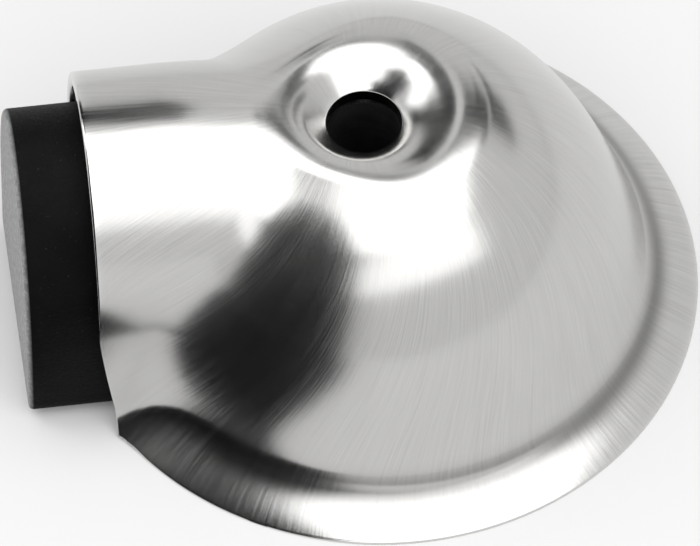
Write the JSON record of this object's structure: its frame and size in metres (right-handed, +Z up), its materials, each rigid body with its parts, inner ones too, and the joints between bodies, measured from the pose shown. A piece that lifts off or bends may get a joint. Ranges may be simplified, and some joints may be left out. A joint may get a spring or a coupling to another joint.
{
  "type": "door stop",
  "caption": "Floor door stop: brushed steel dome with a side tunnel, rolled base lip and funnel screw seat, holding a black rubber buffer block.",
  "frame": {"origin": "on the floor, at the centre of the screw hole", "axes": "+Z up along the screw hole, -Y toward the flat front of the rubber buffer, +X to the side"},
  "size_m": [0.06, 0.0646, 0.0312],
  "materials": {
    "steel": "satin brushed stainless sheet",
    "rubber": "matte black moulded rubber",
    "plastic": "matte black moulded plastic",
    "blackened": "dull blackened steel tube"
  },
  "bodies": {
    "root": {"shell": "steel", "buffer": "rubber", "core": "plastic", "screw_sleeve": "blackened"}
  },
  "joints": []
}
